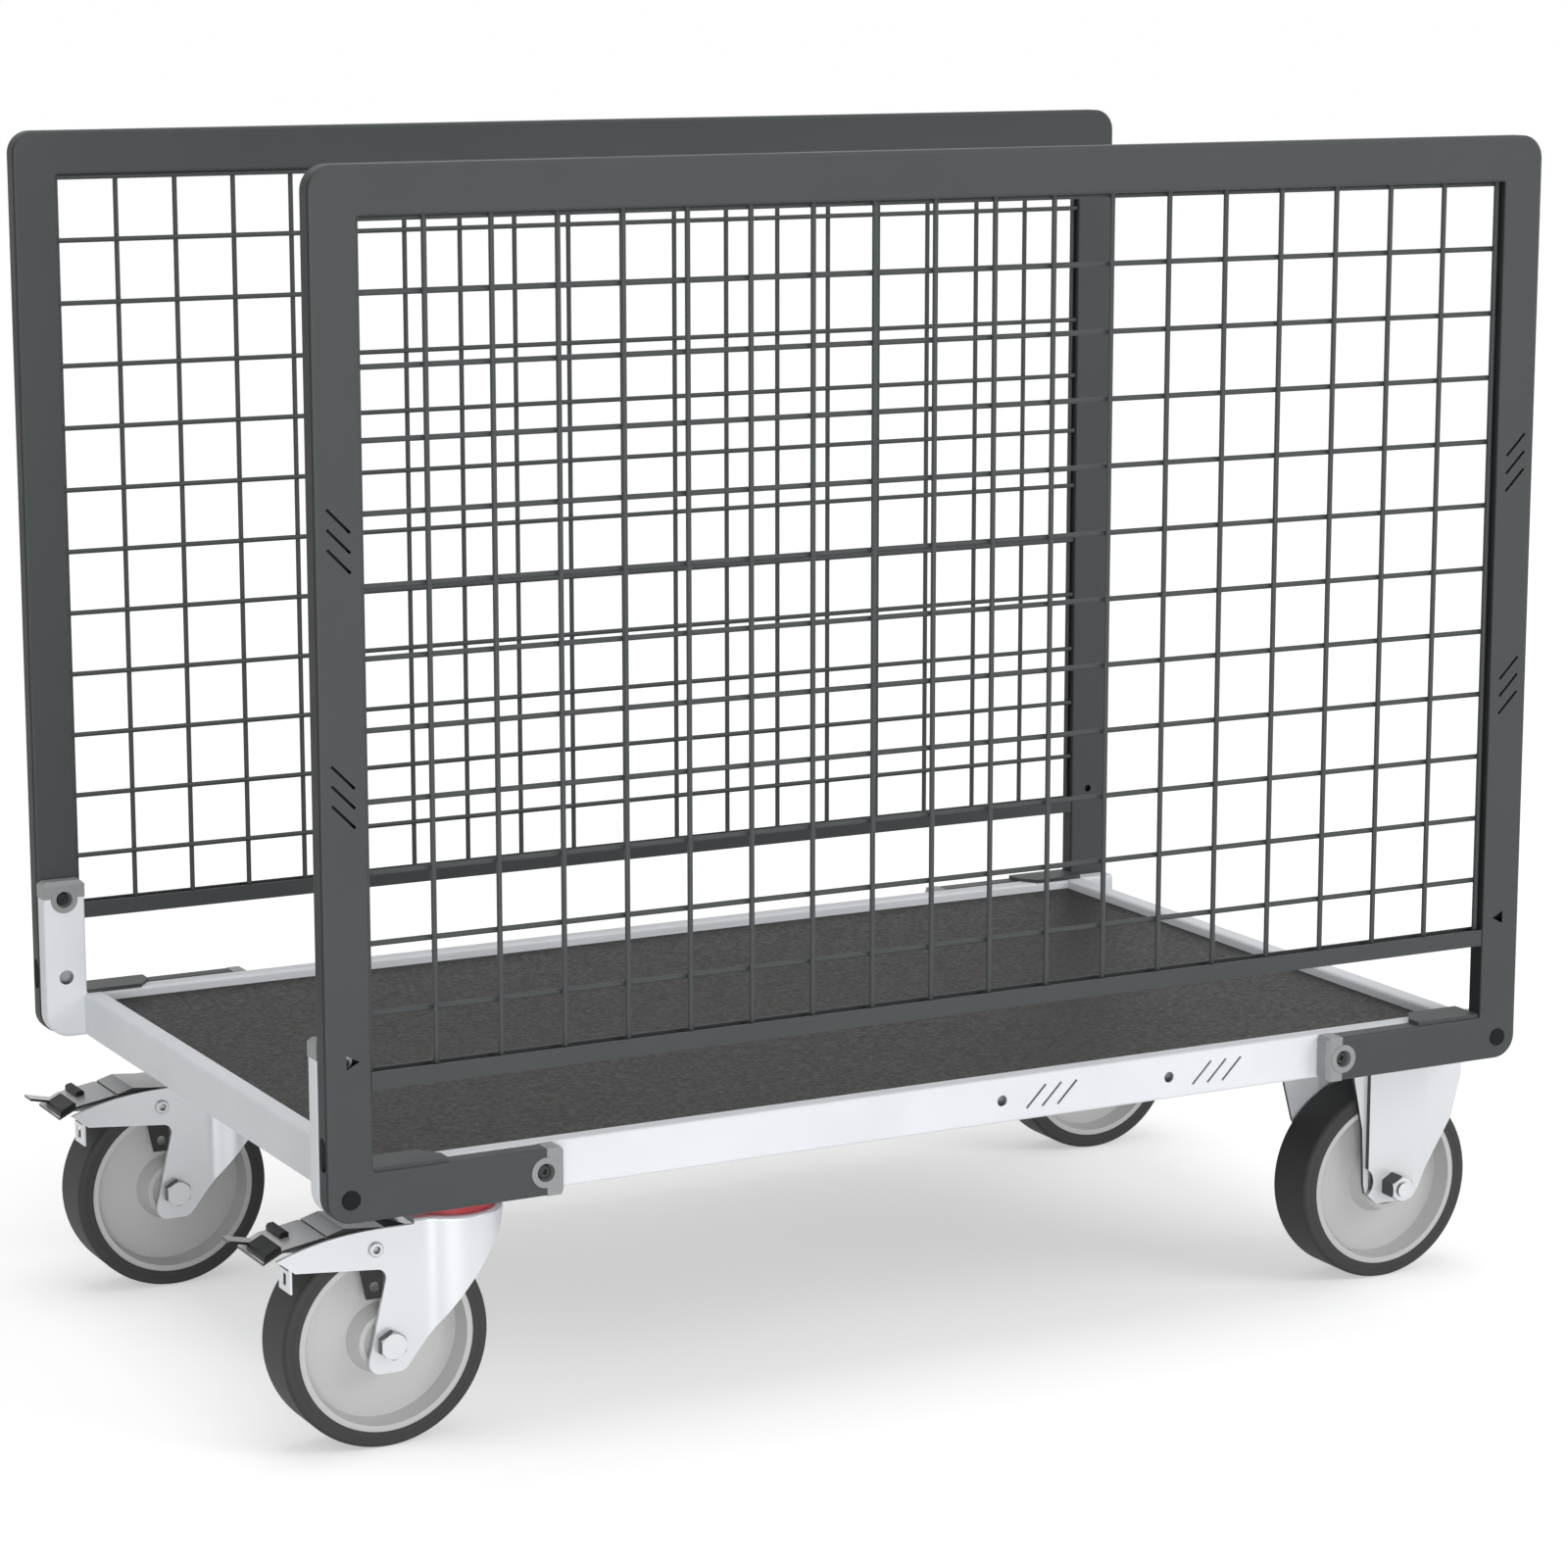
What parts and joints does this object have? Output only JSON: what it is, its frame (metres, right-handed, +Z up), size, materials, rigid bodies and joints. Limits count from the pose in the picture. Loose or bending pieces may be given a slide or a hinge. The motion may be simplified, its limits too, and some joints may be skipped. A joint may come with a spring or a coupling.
{
  "type": "mesh sided trolley",
  "caption": "Platform trolley with a wire mesh panel along each long side, an inset deck, braked swivel castors at one end and fixed castors at the other.",
  "frame": {"origin": "on the floor, under the middle of the bounding box", "axes": "+X along the length towards the fixed castors, +Y across towards the back panel, +Z up"},
  "size_m": [1.0684, 0.6394, 0.928],
  "materials": {
    "anthracite_frame": "satin powder coat",
    "light_grey_frame": "satin powder coat",
    "deck_board": "dark textured film on board",
    "grey_plastic": "matt",
    "black_plastic": "matt",
    "red_seal": "smooth",
    "tyre": "matt",
    "rim_plastic": "smooth",
    "dark_steel": "stamped",
    "zinc_steel": "zinc plated"
  },
  "bodies": {
    "trolley": {"back_cross_wires": "anthracite_frame", "back_fixed_fork": "zinc_steel", "back_left_stile": "anthracite_frame", "back_lower_rail": "anthracite_frame", "back_right_stile": "anthracite_frame", "back_side_rail": "light_grey_frame", "back_top_rail": "anthracite_frame", "back_upright_wires": "anthracite_frame", "castor_bolts": "zinc_steel", "castor_nuts": "zinc_steel", "corner_posts": "light_grey_frame", "deck": "deck_board", "deck_ledges": "light_grey_frame", "fixed_axles": "zinc_steel", "fixed_beam": "light_grey_frame", "foot_plugs": "grey_plastic", "front_cross_wires": "anthracite_frame", "front_fixed_fork": "zinc_steel", "front_left_stile": "anthracite_frame", "front_lower_rail": "anthracite_frame", "front_right_stile": "anthracite_frame", "front_side_rail": "light_grey_frame", "front_top_rail": "anthracite_frame", "front_upright_wires": "anthracite_frame", "hole_plugs": "black_plastic", "left_end_rail": "light_grey_frame", "middle_beam": "light_grey_frame", "panel_feet": "anthracite_frame", "panel_lugs": "anthracite_frame", "panel_nuts": "zinc_steel", "panel_screws": "dark_steel", "post_plugs": "grey_plastic", "right_end_rail": "light_grey_frame", "swivel_beam": "light_grey_frame", "swivel_plates": "zinc_steel", "swivel_races": "zinc_steel", "swivel_seals": "red_seal"},
    "front_swivel": {"front_swivel_fork": "zinc_steel", "front_swivel_axle": "zinc_steel", "front_pedal_pins": "zinc_steel"},
    "front_brake": {"front_pedal": "dark_steel", "front_pedal_treads": "black_plastic"},
    "front_left_wheel": {"front_left_tyre": "tyre", "front_left_rim": "rim_plastic", "front_left_bush": "zinc_steel"},
    "front_right_wheel": {"front_right_tyre": "tyre", "front_right_rim": "rim_plastic", "front_right_bush": "zinc_steel"},
    "back_swivel": {"back_swivel_fork": "zinc_steel", "back_swivel_axle": "zinc_steel", "back_pedal_pins": "zinc_steel"},
    "back_brake": {"back_pedal": "dark_steel", "back_pedal_treads": "black_plastic"},
    "back_left_wheel": {"back_left_tyre": "tyre", "back_left_rim": "rim_plastic", "back_left_bush": "zinc_steel"},
    "back_right_wheel": {"back_right_tyre": "tyre", "back_right_rim": "rim_plastic", "back_right_bush": "zinc_steel"}
  },
  "joints": [
    {"name": "front_swivel_turn", "type": "hinge", "parent": "trolley", "child": "front_swivel", "pos_m": [-0.36715, -0.222, 0.175], "axis": [0, 0, 1], "continuous": true},
    {"name": "front_left_wheel_spin", "type": "hinge", "parent": "front_swivel", "child": "front_left_wheel", "pos_m": [-0.42715, -0.222, 0.08], "axis": [0, 1, 0], "continuous": true},
    {"name": "front_right_wheel_spin", "type": "hinge", "parent": "trolley", "child": "front_right_wheel", "pos_m": [0.45415, -0.222, 0.08], "axis": [0, 1, 0], "continuous": true},
    {"name": "front_brake_press", "type": "hinge", "parent": "front_swivel", "child": "front_brake", "pos_m": [-0.43745, -0.222, 0.1524], "axis": [0, -1, 0], "range_deg": [0, 12]},
    {"name": "back_swivel_turn", "type": "hinge", "parent": "trolley", "child": "back_swivel", "pos_m": [-0.36715, 0.222, 0.175], "axis": [0, 0, 1], "continuous": true},
    {"name": "back_left_wheel_spin", "type": "hinge", "parent": "back_swivel", "child": "back_left_wheel", "pos_m": [-0.42715, 0.222, 0.08], "axis": [0, 1, 0], "continuous": true},
    {"name": "back_right_wheel_spin", "type": "hinge", "parent": "trolley", "child": "back_right_wheel", "pos_m": [0.45415, 0.222, 0.08], "axis": [0, 1, 0], "continuous": true},
    {"name": "back_brake_press", "type": "hinge", "parent": "back_swivel", "child": "back_brake", "pos_m": [-0.43745, 0.222, 0.1524], "axis": [0, -1, 0], "range_deg": [0, 12]}
  ]
}
